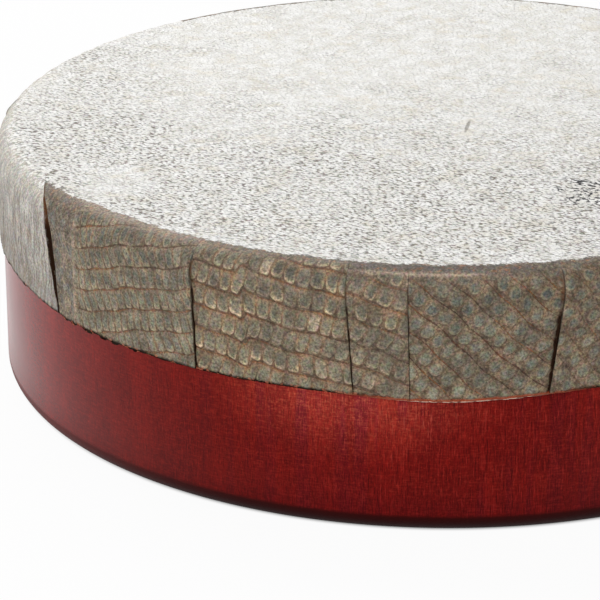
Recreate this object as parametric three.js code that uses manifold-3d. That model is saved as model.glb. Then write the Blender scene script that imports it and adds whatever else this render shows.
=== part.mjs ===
// Kanjira: a small frame drum. A turned wooden shell carries a skin glued over its upper edge, and loose
// metal discs hang on a pin in a slot through the shell.
// The drum lies on its open edge with the head up. The origin is the middle of its footprint, +Z is up,
// and azimuths are degrees from the front (-Y), growing towards +X. Lengths are millimetres.
import * as THREE from "three";
import { mergeVertices } from "three/addons/utils/BufferGeometryUtils.js";
import Module from "manifold-3d";

const wasm = await Module();
wasm.setup();

// Shell: a turned ring with rounded edges and a bevel inside its upper edge
const shellDiameter = 177.8;
const shellHeight = 50.8;
const wallThickness = 9.5;
const bottomOuterRound = 3;
const bottomInnerRound = 1.5;
const shellShoulderRound = 4.3;
const bearingLand = 2;

// Skin: the playing face, its rounded shoulder and the skirt glued down the side
const skinThickness = 0.45;
const glueGap = 0.25;
const bareWoodHeight = 27.8;

// Pleats: the skirt is gathered into panels whose edges lap at leaning seams
const lapLift = 0.5;
const lapWidth = 5;
const lapRun = 4;
const lapStep = 0.35;
const dartEdgeWidth = 1;
const dartWidth = 2.2;
const dartWidest = 0.6;
// Seams on the front, from left to right: azimuth at the skirt's edge, azimuth at the shoulder, and what
// happens there. "left" or "right" is the side that lies on top, and "dart" is an open slit.
const frontSeams = [
  { edge: -96, top: -97.6, kind: "left" },
  { edge: -55.7, top: -58.4, kind: "dart" },
  { edge: -31.5, top: -32.2, kind: "left" },
  { edge: -11.7, top: -12.7, kind: "left" },
  { edge: -5.1, top: -5.5, kind: "left" },
  { edge: 11.1, top: 12.6, kind: "right" },
];
// Seams round the hidden side, evenly spaced, leaning to one side and the other in turn
const hiddenSeams = 10;
const hiddenSeamLean = 1.6;

// Slot for the jingles, opposite the front's left quarter, halfway up the bare wood
const slotAzimuth = 135;
const slotLength = 44;
const slotHeight = 14;

// Pin: driven in from the open edge, through the slot and into the wood above it
const pinDiameter = 2.4;
const pinHeadDiameter = 4;
const pinHeadHeight = 1;
const pinHeadRecess = 0.4;
const pinBite = 7;
const pinClearance = 0.3;

// Jingles: thin dished discs in facing pairs, loose on the pin
const jingleCount = 4;
const jingleDiameter = 28;
const jingleSheet = 0.6;
const jingleDish = 0.9;
const jingleHubDiameter = 7;
const jingleCupDiameter = 17;
const jingleHoleClearance = 0.6;
const jingleGap = 0.3;

// Facets
const ringSegments = 96;
const discSegments = 36;
const pinSegments = 24;
const roundSteps = 4;
const panelPitch = 5;

// Sizes that follow
const shellRadius = shellDiameter / 2;
const innerRadius = shellRadius - wallThickness;
const wallMiddle = shellRadius - wallThickness / 2;
const skinOffset = glueGap + skinThickness;
const skinRadius = shellRadius + skinOffset;
const skinTop = shellHeight + skinOffset;
const shoulderRadius = shellShoulderRound + skinOffset;
const shoulderFoot = skinTop - shoulderRadius;
const slotMiddle = bareWoodHeight / 2;
const slotFloor = slotMiddle - slotHeight / 2;
const slotCeiling = slotMiddle + slotHeight / 2;
const jingleHeight = jingleDish + jingleSheet;

// Materials
const lacqueredWood = new THREE.MeshStandardMaterial({ color: 0x731f1a, roughness: 0.3, metalness: 0 });
const drumSkin = new THREE.MeshStandardMaterial({ color: 0x8d887c, roughness: 0.6, metalness: 0 });
const pinSteel = new THREE.MeshStandardMaterial({ color: 0xa8a8a6, roughness: 0.35, metalness: 1 });
const jingleBrass = new THREE.MeshStandardMaterial({ color: 0xc9a45c, roughness: 0.3, metalness: 1 });

// A point of a profile: distance from the axis and height
function at(radius, height) {
  return new THREE.Vector2(radius, height);
}

// A round stretch of a profile, from one angle to another in degrees
function arc(centre, radius, from, to) {
  const points = [];
  for (let step = 0; step <= roundSteps; step++) {
    const angle = THREE.MathUtils.degToRad(THREE.MathUtils.lerp(from, to, step / roundSteps));
    points.push(at(centre.x + radius * Math.cos(angle), centre.y + radius * Math.sin(angle)));
  }
  return points;
}

// A profile turned about the drum's axis
function turned(profile, segments) {
  return new THREE.LatheGeometry(profile, segments).rotateX(Math.PI / 2);
}

// A closed geometry as a solid that can be cut
function solid(geometry) {
  const bare = geometry.clone();
  bare.deleteAttribute("normal");
  bare.deleteAttribute("uv");
  const merged = mergeVertices(bare);
  return new wasm.Manifold(new wasm.Mesh({
    numProp: 3,
    vertProperties: merged.attributes.position.array,
    triVerts: Uint32Array.from(merged.index.array),
  }));
}

// A cut solid as a geometry
function geometryOf(body) {
  const mesh = body.getMesh();
  const geometry = new THREE.BufferGeometry();
  geometry.setAttribute("position", new THREE.BufferAttribute(mesh.vertProperties, mesh.numProp));
  geometry.setIndex(new THREE.BufferAttribute(mesh.triVerts, 1));
  return geometry;
}

// A cutter modelled at the front, swung round to its azimuth
function swung(geometry, azimuth) {
  return geometry.rotateZ(THREE.MathUtils.degToRad(azimuth));
}

// An upright round cutter in the middle of the wall at the slot
function upright(diameter, from, to) {
  const cylinder = new THREE.CylinderGeometry(diameter / 2, diameter / 2, to - from, pinSegments);
  cylinder.rotateX(Math.PI / 2).translate(0, -wallMiddle, (from + to) / 2);
  return swung(cylinder, slotAzimuth);
}

// Shell
function shellProfile() {
  const bevel = wallThickness - shellShoulderRound - bearingLand;
  return [
    ...arc(at(shellRadius - bottomOuterRound, bottomOuterRound), bottomOuterRound, -90, 0),
    ...arc(at(shellRadius - shellShoulderRound, shellHeight - shellShoulderRound), shellShoulderRound, 0, 90),
    at(innerRadius + bevel, shellHeight),
    at(innerRadius, shellHeight - bevel),
    ...arc(at(innerRadius + bottomInnerRound, bottomInnerRound), bottomInnerRound, 180, 270),
    at(shellRadius - bottomOuterRound, 0),
  ];
}

function slotCutter() {
  const straight = (slotLength - slotHeight) / 2;
  const outline = new THREE.Shape();
  outline.absarc(straight, slotMiddle, slotHeight / 2, -Math.PI / 2, Math.PI / 2);
  outline.absarc(-straight, slotMiddle, slotHeight / 2, Math.PI / 2, 1.5 * Math.PI);
  const depth = shellDiameter;
  const cutter = new THREE.ExtrudeGeometry(outline, { depth, bevelEnabled: false, curveSegments: 2 * roundSteps });
  return swung(cutter.rotateX(Math.PI / 2), slotAzimuth);
}

function shellGeometry() {
  const below = -pinHeadHeight;
  const headSeat = pinHeadRecess + pinHeadHeight + pinClearance;
  const holeTop = slotCeiling + pinBite + pinClearance;
  const ring = solid(turned(shellProfile(), ringSegments));
  const slotted = ring.subtract(solid(slotCutter()));
  const drilled = slotted.subtract(solid(upright(pinDiameter + 2 * pinClearance, below, holeTop)));
  return geometryOf(drilled.subtract(solid(upright(pinHeadDiameter + 2 * pinClearance, below, headSeat))));
}

// Every seam of the skirt in order of azimuth
function allSeams() {
  const first = frontSeams[0];
  const last = frontSeams[frontSeams.length - 1];
  const pitch = (first.edge + 360 - last.edge) / (hiddenSeams + 1);
  const seams = [...frontSeams];
  for (let place = 1; place <= hiddenSeams; place++) {
    const edge = last.edge + place * pitch;
    const lean = place % 2 ? hiddenSeamLean : -hiddenSeamLean;
    seams.push({ edge, top: edge + lean, kind: lean > 0 ? "right" : "left" });
  }
  return seams;
}

// Columns of the skin's mesh, panel by panel: azimuth at the skirt's edge and at the shoulder, and how
// far the column is lifted by the panel that it laps over
function skinColumns() {
  const seams = allSeams();
  const step = THREE.MathUtils.radToDeg(lapStep / skinRadius);
  const columns = [];
  seams.forEach((left, index) => {
    const wraps = index === seams.length - 1;
    const right = seams[wraps ? 0 : index + 1];
    const turn = wraps ? 360 : 0;
    const start = { edge: left.edge + step / 2, top: left.top + step / 2 };
    const end = { edge: right.edge + turn - step / 2, top: right.top + turn - step / 2 };
    const width = Math.min(end.edge - start.edge, end.top - start.top);
    const rise = Math.min(lapWidth, THREE.MathUtils.degToRad(width) * skinRadius / 3);
    const share = THREE.MathUtils.radToDeg(rise / skinRadius) / width;
    const fills = Math.max(1, Math.round(width * (1 - 2 * share) / panelPitch));
    const column = (place, lift) => columns.push({
      edge: THREE.MathUtils.lerp(start.edge, end.edge, place),
      top: THREE.MathUtils.lerp(start.top, end.top, place),
      lift,
    });
    column(0, left.kind === "right" ? lapLift : 0);
    for (let fill = 0; fill <= fills; fill++) {
      column(THREE.MathUtils.lerp(share, 1 - share, fill / fills), 0);
    }
    column(1, right.kind === "left" ? lapLift : 0);
  });
  return columns;
}

// Rings of the skin's mesh, from the underside round the skirt's edge to the playing face. Seam runs from
// 0 at the skirt's edge to 1 at the shoulder, and lap is the share of the lift that shows at that height.
function skinRings() {
  const centre = at(skinRadius - shoulderRadius, shoulderFoot);
  const skirtMiddle = (bareWoodHeight + shoulderFoot) / 2;
  const seamAt = (height) => (height - bareWoodHeight) / (shoulderFoot - bareWoodHeight);
  const rings = [];
  for (const point of arc(centre, shoulderRadius - skinThickness, 90, 0)) {
    rings.push({ radius: point.x, height: point.y, seam: 1, lap: 0 });
  }
  rings.push({ radius: skinRadius - skinThickness, height: bareWoodHeight, seam: 0, lap: 0 });
  for (const height of [bareWoodHeight, skirtMiddle, shoulderFoot - lapRun]) {
    rings.push({ radius: skinRadius, height, seam: seamAt(height), lap: 1 });
  }
  for (const point of arc(centre, shoulderRadius, 0, 90)) {
    rings.push({ radius: point.x, height: point.y, seam: 1, lap: 0 });
  }
  return rings;
}

// Skin before its open darts are cut: rings of columns, closed at the middle of both faces
function pleatedSkin() {
  const columns = skinColumns();
  const rings = skinRings();
  const positions = [0, 0, skinTop - skinThickness, 0, 0, skinTop];
  for (const ring of rings) {
    for (const column of columns) {
      const azimuth = THREE.MathUtils.degToRad(THREE.MathUtils.lerp(column.edge, column.top, ring.seam));
      const radius = ring.radius + ring.lap * column.lift;
      positions.push(radius * Math.sin(azimuth), -radius * Math.cos(azimuth), ring.height);
    }
  }
  const underside = 0;
  const face = 1;
  const vertex = (ring, column) => 2 + ring * columns.length + column % columns.length;
  const triangles = [];
  for (let column = 0; column < columns.length; column++) {
    triangles.push(underside, vertex(0, column + 1), vertex(0, column));
    for (let ring = 0; ring < rings.length - 1; ring++) {
      const near = [vertex(ring, column), vertex(ring, column + 1)];
      const far = [vertex(ring + 1, column), vertex(ring + 1, column + 1)];
      triangles.push(near[0], near[1], far[1], near[0], far[1], far[0]);
    }
    triangles.push(vertex(rings.length - 1, column), vertex(rings.length - 1, column + 1), face);
  }
  const geometry = new THREE.BufferGeometry();
  geometry.setAttribute("position", new THREE.Float32BufferAttribute(positions, 3));
  geometry.setIndex(triangles);
  return geometry;
}

// An open dart: a slit right through the skirt, widest above its middle and closing to a point at the shoulder
function dartCutter(seam) {
  const lean = THREE.MathUtils.degToRad(seam.top - seam.edge) * skinRadius;
  const rise = shoulderFoot - bareWoodHeight;
  const overrun = -lapRun / rise;
  const outline = new THREE.Shape([
    at(lean * overrun - dartEdgeWidth / 2, bareWoodHeight + rise * overrun),
    at(lean * overrun + dartEdgeWidth / 2, bareWoodHeight + rise * overrun),
    at(lean * dartWidest + dartWidth / 2, bareWoodHeight + rise * dartWidest),
    at(lean, shoulderFoot),
    at(lean * dartWidest - dartWidth / 2, bareWoodHeight + rise * dartWidest),
  ]);
  const depth = 2 * skinOffset + lapLift;
  const cutter = new THREE.ExtrudeGeometry(outline, { depth, bevelEnabled: false });
  cutter.rotateX(Math.PI / 2).translate(0, depth / 2 - skinRadius, 0);
  return swung(cutter, seam.edge);
}

function drumheadGeometry() {
  let skin = solid(pleatedSkin());
  for (const seam of allSeams()) {
    if (seam.kind === "dart") {
      skin = skin.subtract(solid(dartCutter(seam)));
    }
  }
  return geometryOf(skin);
}

// Jingle pin: a round pin with a small flat head let into the drum's open edge
function jinglePinGeometry() {
  const headTop = pinHeadRecess + pinHeadHeight;
  const shankTop = slotCeiling + pinBite;
  const profile = [
    at(0, pinHeadRecess),
    at(pinHeadDiameter / 2, pinHeadRecess),
    at(pinHeadDiameter / 2, headTop),
    at(pinDiameter / 2, headTop),
    at(pinDiameter / 2, shankTop),
    at(0, shankTop),
  ];
  return turned(profile, pinSegments);
}

// Jingle: flat hub, sloping cup and flat brim, pressed from sheet, with the hollow side down
function jingleProfile() {
  const hole = pinDiameter / 2 + jingleHoleClearance;
  const hub = jingleHubDiameter / 2;
  const cup = jingleCupDiameter / 2;
  const lower = [at(hole, jingleDish)];
  for (let step = 0; step <= roundSteps; step++) {
    const slope = step / roundSteps;
    const radius = THREE.MathUtils.lerp(hub, cup, slope);
    lower.push(at(radius, jingleDish * (1 + Math.cos(Math.PI * slope)) / 2));
  }
  lower.push(at(jingleDiameter / 2, 0));
  const upper = lower.map((point) => at(point.x, point.y + jingleSheet)).reverse();
  return [...lower, ...upper, lower[0]];
}

// Assembly
function piece(name, geometry, material) {
  const mesh = new THREE.Mesh(geometry, material);
  mesh.name = name;
  return mesh;
}

const kanjira = new THREE.Group();
kanjira.add(piece("shell", shellGeometry(), lacqueredWood));
kanjira.add(piece("drumhead", drumheadGeometry(), drumSkin));

// What hangs in the slot is placed about the pin's axis
const onPin = new THREE.Group();
const pinAngle = THREE.MathUtils.degToRad(slotAzimuth);
onPin.position.set(wallMiddle * Math.sin(pinAngle), -wallMiddle * Math.cos(pinAngle), 0);
onPin.add(piece("jingle_pin", jinglePinGeometry(), pinSteel));
for (let place = 0; place < jingleCount; place++) {
  const jingle = piece(`jingle_${place + 1}`, turned(jingleProfile(), discSegments), jingleBrass);
  const lowest = slotFloor + jingleGap + place * (jingleHeight + jingleGap);
  const hollowUp = place % 2 === 0;
  jingle.rotation.x = hollowUp ? Math.PI : 0;
  jingle.position.z = hollowUp ? lowest + jingleHeight : lowest;
  onPin.add(jingle);
}
kanjira.add(onPin);

export default kanjira;
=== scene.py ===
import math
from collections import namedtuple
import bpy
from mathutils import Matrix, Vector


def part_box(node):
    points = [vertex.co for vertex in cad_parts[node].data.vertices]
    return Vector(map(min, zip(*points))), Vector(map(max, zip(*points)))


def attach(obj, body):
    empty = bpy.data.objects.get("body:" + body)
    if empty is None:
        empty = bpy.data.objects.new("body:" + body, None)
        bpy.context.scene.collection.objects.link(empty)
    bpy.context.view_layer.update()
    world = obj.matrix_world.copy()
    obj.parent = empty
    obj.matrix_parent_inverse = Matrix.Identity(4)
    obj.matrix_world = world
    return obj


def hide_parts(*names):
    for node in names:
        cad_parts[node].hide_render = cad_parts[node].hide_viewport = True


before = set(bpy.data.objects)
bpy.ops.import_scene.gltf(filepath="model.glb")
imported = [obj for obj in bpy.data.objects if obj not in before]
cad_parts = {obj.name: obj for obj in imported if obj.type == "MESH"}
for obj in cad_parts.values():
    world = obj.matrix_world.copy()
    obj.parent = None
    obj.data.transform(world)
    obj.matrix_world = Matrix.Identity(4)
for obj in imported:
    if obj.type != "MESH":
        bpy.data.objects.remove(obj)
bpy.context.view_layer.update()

# Kanjira: a lacquered wooden shell, a pleated lizard-patterned skin glued over its upper edge, and loose
# brass discs on a pin in a slot through the shell. Lengths are millimetres until a mesh is made.
# Azimuths are degrees from the front (-Y), growing towards +X.
from types import SimpleNamespace

import bpy
import bmesh
import numpy as np
from mathutils import Vector

MM = 0.001


def box_mm(node):
    """Lowest and highest corner of a CAD node, in millimetres."""
    low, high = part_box(node)
    return low / MM, high / MM


# Sizes from the frame
shell_high = box_mm("shell")[1]
skin_low, skin_high = box_mm("drumhead")
pin_low, pin_high = box_mm("jingle_pin")
SHELL_RADIUS = shell_high.x
SHELL_HEIGHT = shell_high.z
SKIRT_EDGE = skin_low.z
SKIN_TOP = skin_high.z
PIN_AXIS = (pin_low + pin_high) / 2
JINGLES = ["jingle_1", "jingle_2", "jingle_3", "jingle_4"]

# Shell
WALL = 9.5
BOTTOM_ROUND = 3.0
INNER_ROUND = 1.5
SHELL_SHOULDER = 4.3
BEARING_LAND = 2.0
SHELL_SEGMENTS = 384
SLOT_LENGTH = 44.0
SLOT_HEIGHT = 14.0
SLOT_MIDDLE = SKIRT_EDGE / 2
SLOT_AZIMUTH = math.degrees(math.atan2(PIN_AXIS.x, -PIN_AXIS.y))
# The slot's rounded edge: its radius, the turns along it in degrees, and how far its cutter goes past it
EDGE_SOFTENING = 0.8
MOUTH_TURNS = (0, 17, 34, 51, 68)
MOUTH_PAST = 0.4

# Pin and its hole
PIN_RADIUS = 1.2
PIN_HEAD_RADIUS = 2.0
PIN_HEAD = 1.0
PIN_CHAMFER = 0.25
PIN_SEGMENTS = 48
PIN_HOLE_RADIUS = 1.5
PIN_SEAT_RADIUS = 2.3
PIN_SEAT_DEPTH = 1.7

# Jingles
JINGLE_SHEET = 0.6
JINGLE_HOLE = 1.8
JINGLE_HUB = 3.5
JINGLE_CUP = 8.5
JINGLE_SEGMENTS = 96

# Edges that turn by more degrees than this stay sharp
SHELL_CREASE = 20
METAL_CREASE = 35

# Skin
SKIN = 0.45
GLUE = 0.25
SKIN_RADIUS = SHELL_RADIUS + SKIN + GLUE
SHOULDER = SHELL_SHOULDER + SKIN + GLUE
SHOULDER_FOOT = SKIN_TOP - SHOULDER
FLAT_RADIUS = SKIN_RADIUS - SHOULDER
SHOULDER_LENGTH = SHOULDER * math.pi / 2
COLUMN_PITCH = 0.58
ROW_PITCH = 0.52
TOP_PITCH = 1.1
# Columns of the face are halved when they come closer than this share of its pitch
CROWDED = 0.6
# The side that is glued down: its level, its steps over the shoulder, and how its rings shrink and end
UNDERSIDE = SKIN_TOP - SKIN - 0.2
UNDERSIDE_BENDS = 5
UNDERSIDE_SHRINK = 0.8
FEWEST_COLUMNS = 12

# Pleats: seams as azimuth at the skirt's edge, azimuth at the shoulder, the side that lies on top, how wide
# the painted shadow under it shows, and how far round the shoulder it runs, in degrees
Seam = namedtuple("Seam", "edge top kind shadow rise")
FRONT_SEAMS = [
    Seam(-96, -97.6, "left", 0.7, 40),
    Seam(-55.7, -58.2, "dart", 1.0, 80),
    Seam(-31.5, -32.2, "left", 0.55, 45),
    Seam(-11.7, -12.7, "left", 0.38, 38),
    Seam(-5.1, -5.5, "left", 0.2, 45),
    Seam(11.1, 12.6, "right", 1.2, 66),
]
HIDDEN_SEAMS = 10
HIDDEN_LEAN = 1.6
HIDDEN_SHADOW = 0.8
HIDDEN_RISE = 45
LAP_LIFT = 0.5
LAP_WIDTH = 5.0
LAP_FADE = 28
LAP_TAPER = 0.45
# The open dart: its widths, how it bows, leans and pulls the skin beside it, and its section from lip to
# floor, as inset, height and darkness of the painted shadow in it
DART_EDGE_WIDTH = 0.6
DART_TOP_WIDTH = 0.5
DART_BULGE = 0.9
DART_LEAN = -7.0
DART_PULL = 20.0
DART_LIP = 0.1
DART_FLOOR = 0.04 - SKIN
DART_SECTION = [(-0.2, DART_LIP, 0.0), (0.0, DART_LIP / 2, 0.7), (0.12, DART_FLOOR, 1.0)]
# The face runs lower over the shoulder by the dart: azimuth, and spread in degrees
PALE_SHOULDER = (-60, 7)

# Scales on each panel: the way a row runs (degrees down to the right), scale width, row pitch, half width
# and half height of a scale in its cell, how far below the face the scales begin, how strongly the scales,
# their pale rims and the lines between rows show, and how streaky the panel is
Panel = namedtuple("Panel", "slope width pitch half_width half_height begin contrast rim line streak")
STREAKED_PANEL = Panel(0, 1.0, 4.0, 0.4, 0.4, 2.0, 0.1, 0.0, 0.0, 1.0)
PLAIN_PANEL = Panel(0, 2.45, 4.2, 0.46, 0.42, 1.5, 0.85, 0.8, 0.7, 0.0)
FRONT_PANELS = [
    STREAKED_PANEL,
    Panel(-15, 1.95, 4.1, 0.46, 0.47, 0.8, 0.85, 0.45, 0.9, 0.0),
    Panel(9, 2.5, 4.25, 0.48, 0.42, 0.5, 1.0, 1.0, 0.75, 0.0),
    Panel(21, 2.7, 4.2, 0.45, 0.4, 2.5, 0.85, 0.9, 0.85, 0.0),
    Panel(42, 2.75, 4.0, 0.46, 0.34, 3.0, 1.0, 0.1, 1.0, 0.0),
    Panel(53, 2.6, 3.8, 0.43, 0.33, 1.0, 0.9, 0.1, 0.6, 0.0),
]
# A strip beside the dart has no scales: panel, and azimuth where the scales begin
PLAIN_STRIP = (1, -51.8)
STREAKED_BEHIND = 2
LEVEL_ROWS_AZIMUTH = -31
# A crack across the scales of one panel: to its left the rows sit lower. Panel, azimuth, lean, drop
ROW_FAULT = (2, -26.5, 0.16, 1.7)
# Upright creases in the skirt: azimuth, height, half width, and how pale the crest is painted, as a painted
# highlight
CREASES = [
    (-51.8, 0.3, 0.45, 0.5),
    (-54.0, 0.1, 0.7, 0.15),
    (-68.0, 0.18, 0.8, 0.3),
    (-77.0, 0.15, 0.7, 0.2),
]
CREASE_TOP = 9.0
# Lines along the rim: azimuth, spread in degrees, depth below the face, half width, and how pale or dark.
# They are a pale band on the left, a painted shadow under the rim in front and a painted highlight on a
# ridge
RIM_LINES = [(-45, 15, 0.8, 1.5, 0.3), (-1, 10, 1.1, 0.55, -0.5), (-4, 8, 3.1, 0.4, 0.65)]
# Heights of the relief on the skirt
SCALE_HEIGHT = 0.17
GROOVE_DEPTH = 0.12
RIM_LINE_HEIGHT = 0.15
STRAND_HEIGHT = 0.05
SWELL_HEIGHT = 0.05

# The skirt's cut edge: its slant, the stretch where it hangs open in short scuffs, the stretch where a bead
# of glue is raised and gets a painted highlight, and where it rises or dips, as azimuth, spread in degrees
# and height
CUT_SLANT = 0.4
LIP_INSET = 0.03
INNER_DROP = 0.05
SCUFF = 0.4
SCUFFED = (-82, -34)
SCUFFED_FADE = 8
BEAD = 0.2
GLINT_AZIMUTH = 2
GLINT_SPREAD = 12
GLINT_RISE = 0.15
LIP_GLINT = 0.4
EDGE_SWAYS = [
    (-72, 14, 0.85),
    (-2, 9, -0.8),
    (17, 6, 0.3),
    (95, 20, -0.5),
    (160, 25, 0.5),
    (230, 18, -0.4),
]

# Looks that the mesh holds for the material, and what they are where there are no scales
LOOKS = ("scale_place", "scale_form", "scale_tone", "skin_look", "edge_look")
NO_SCALES = (0.4, 0.4, 0.0)
PLAYING_FACE = {"scale_form": NO_SCALES, "skin_look": (1.0, 0.0, 0.0)}
INSIDE = (0.0, 0.0, 1.0)

# Flecks on the playing face: how far they are drawn out sideways, and how they lean
FLECK_STRETCH = 0.72
FLECK_LEAN = 0.4
# Marks on the playing face, where the photograph shows them: a nick in a smooth spot, another smooth spot by
# the rim, and a worn patch with black flecks
NICK = (6.2, -7.5, 0.0)
NICK_REACH = (0.5, 5.0, 1.0)
NICK_LEAN = 0.17
SMOOTH_SPOTS = [(NICK, (5.0, 10.0, 1.0)), ((-63.0, -42.0, 0.0), (11.0, 13.0, 1.0))]
WORN_PATCH = (28.0, -47.5, 0.0)
WORN_REACH = (8.0, 9.0, 1.0)
# A painted sheen on the lacquer under the skirt: the wood is paler and oranger there
WOOD_SHEEN_SPOT = (-20.0, -SHELL_RADIUS, SKIRT_EDGE)
WOOD_SHEEN_REACH = (32.0, 40.0, 16.0)

# Studio, in metres, degrees and watts. Softboxes are given as name, place, size and power
CAMERA_PLACE = (-0.027734, -0.579427, 0.245388)
CAMERA_TILT = 90 - 22.086
CAMERA_LENS = 178.5
CAMERA_SENSOR = 36
CAMERA_NEAREST = 0.01
SOFTBOX_AIM = (0, 0, 0.03)
SOFTBOXES = [
    ("softbox_behind", (-0.35, 0.75, 0.9), 0.9, 10.0),
    ("softbox_left", (-0.6, -1.0, 0.7), 0.7, 6.2),
]
ROOM_LIGHT = 0.42
FLOOR_SIZE = 6
FLOOR_GREY = (0.8, 0.8, 0.8, 1)
FLOOR_WHITE = 0.95
# Where the floor turns white, in millimetres out from the shell's wall: to the camera and in the lacquer
CONTACT_SHADOW = -0.8
MIRRORED_SHADOW = 10.0


def srgb(red, green, blue):
    """A colour written in 0 to 255 steps, as the shader wants it."""
    def linear(step):
        share = step / 255
        return share / 12.92 if share <= 0.04045 else ((share + 0.055) / 1.055) ** 2.4
    return (linear(red), linear(green), linear(blue), 1.0)


def smooth(low, high, value):
    """Eases from 0 at low to 1 at high."""
    share = np.clip((value - low) / (high - low), 0, 1)
    return share * share * (3 - 2 * share)


def ripple(x, y, wavelength, seed):
    """Smooth waves without a visible repeat, from about -1 to 1."""
    rng = np.random.default_rng(seed)
    total = 0
    for _ in range(6):
        heading = rng.uniform(0, 2 * math.pi)
        pace = 2 * math.pi / (wavelength * rng.uniform(0.7, 1.4))
        total = total + np.sin(pace * (x * math.cos(heading) + y * math.sin(heading)) + rng.uniform(0, 7))
    return total / 3


# Meshes
def link(name, data):
    obj = bpy.data.objects.new(name, data)
    bpy.context.scene.collection.objects.link(obj)
    return obj


def mesh_object(name, points, faces, looks=None):
    """A smooth mesh object from points in millimetres. Looks give a vector for each point, by name."""
    mesh = bpy.data.meshes.new(name)
    mesh.from_pydata((np.asarray(points, dtype=float) * MM).tolist(), [], faces)
    for look, vectors in (looks or {}).items():
        attribute = mesh.attributes.new(look, "FLOAT_VECTOR", "POINT")
        attribute.data.foreach_set("vector", vectors.astype(np.float32).ravel())
    work = bmesh.new()
    work.from_mesh(mesh)
    bmesh.ops.remove_doubles(work, verts=work.verts, dist=1e-7)
    bmesh.ops.recalc_face_normals(work, faces=work.faces)
    work.to_mesh(mesh)
    work.free()
    mesh.shade_smooth()
    return link(name, mesh)


def turned(name, profile, segments):
    """A closed profile of (radius, height) points turned about the Z axis."""
    profile = np.asarray(profile, dtype=float)
    angles = np.arange(segments) * 2 * math.pi / segments
    radius, height = profile[:, 0], profile[:, 1]
    rings = np.stack([
        np.outer(np.cos(angles), radius),
        np.outer(np.sin(angles), radius),
        np.tile(height, (segments, 1)),
    ], axis=-1)
    count = len(profile)
    faces = []
    for turn in range(segments):
        here = turn * count
        there = (turn + 1) % segments * count
        for place in range(count):
            after = (place + 1) % count
            faces.append((here + place, there + place, there + after, here + after))
    return mesh_object(name, rings.reshape(-1, 3), faces)


def arc(radius, height, size, start, end, steps):
    """A round stretch of a profile about (radius, height), from one angle to another in degrees."""
    angles = np.radians(np.linspace(start, end, steps + 1))
    return [(radius + size * math.cos(angle), height + size * math.sin(angle)) for angle in angles]


def sharpen(obj, degrees):
    obj.data.set_sharp_from_angle(angle=math.radians(degrees))


def cut(obj, cutter):
    """Takes the cutter's shape out of the object and removes the cutter."""
    modifier = obj.modifiers.new("cut", "BOOLEAN")
    modifier.operation = "DIFFERENCE"
    modifier.solver = "EXACT"
    modifier.object = cutter
    shaped = bpy.data.meshes.new_from_object(obj.evaluated_get(bpy.context.evaluated_depsgraph_get()))
    obj.modifiers.clear()
    obj.data = shaped
    bpy.data.objects.remove(cutter)


def dress(obj, body, slot, finish, *nodes):
    """Puts a finished piece on its body, in place of its CAD nodes."""
    obj.data.materials.clear()
    obj.data.materials.append(finish)
    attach(obj, body)
    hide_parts(*nodes)


# Shader nodes
def feed(tree, socket, value):
    """Sets a socket, or joins what another node gives to it."""
    if isinstance(value, Value):
        tree.links.new(value.socket, socket)
    else:
        socket.default_value = value


def add_node(tree, kind, inputs=None, output=0, **settings):
    """Adds a shader node, sets it up, feeds its inputs and hands back one of its outputs."""
    node = tree.nodes.new("ShaderNode" + kind)
    for name, setting in settings.items():
        setattr(node, name, setting)
    for name, value in (inputs or {}).items():
        feed(tree, node.inputs[name], value)
    return Value(tree, node.outputs[output])


def calculate(tree, operation, *numbers):
    return add_node(tree, "Math", dict(enumerate(numbers)), operation=operation)


class Value:
    """What a shader node gives: a number, vector, colour or shader. Numbers work with + - * / and **."""

    def __init__(self, tree, socket):
        self.tree = tree
        self.socket = socket

    def apply(self, operation, *others):
        return calculate(self.tree, operation, self, *others)

    def __add__(self, other):
        return self.apply("ADD", other)

    def __sub__(self, other):
        return self.apply("SUBTRACT", other)

    def __rsub__(self, other):
        return calculate(self.tree, "SUBTRACT", other, self)

    def __mul__(self, other):
        return self.apply("MULTIPLY", other)

    def __truediv__(self, other):
        return self.apply("DIVIDE", other)

    def __rtruediv__(self, other):
        return calculate(self.tree, "DIVIDE", other, self)

    def __pow__(self, other):
        return self.apply("POWER", other)

    def __abs__(self):
        return self.apply("ABSOLUTE")

    __radd__ = __add__
    __rmul__ = __mul__

    def ease(self, low, high, at_low=0.0, at_high=1.0):
        """Eases from one number at low to another at high."""
        inputs = {"Value": self, "From Min": low, "From Max": high, "To Min": at_low, "To Max": at_high}
        return add_node(self.tree, "MapRange", inputs, "Result", interpolation_type="SMOOTHSTEP")

    def each(self, operation, other):
        """Works on the three parts of a vector one by one."""
        return add_node(self.tree, "VectorMath", {0: self, 1: other}, operation=operation)

    def length(self):
        return add_node(self.tree, "VectorMath", {0: self}, "Value", operation="LENGTH")

    def parts(self):
        """The three parts of a vector."""
        node = add_node(self.tree, "SeparateXYZ", {0: self}).socket.node
        return [Value(self.tree, output) for output in node.outputs]

    def away(self, centre, reach):
        """Distance from an upright line through a spot, in shares of the spot's reach."""
        flat = self.each("SUBTRACT", centre).each("MULTIPLY", (1, 1, 0))
        return flat.each("DIVIDE", reach).length()


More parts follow.
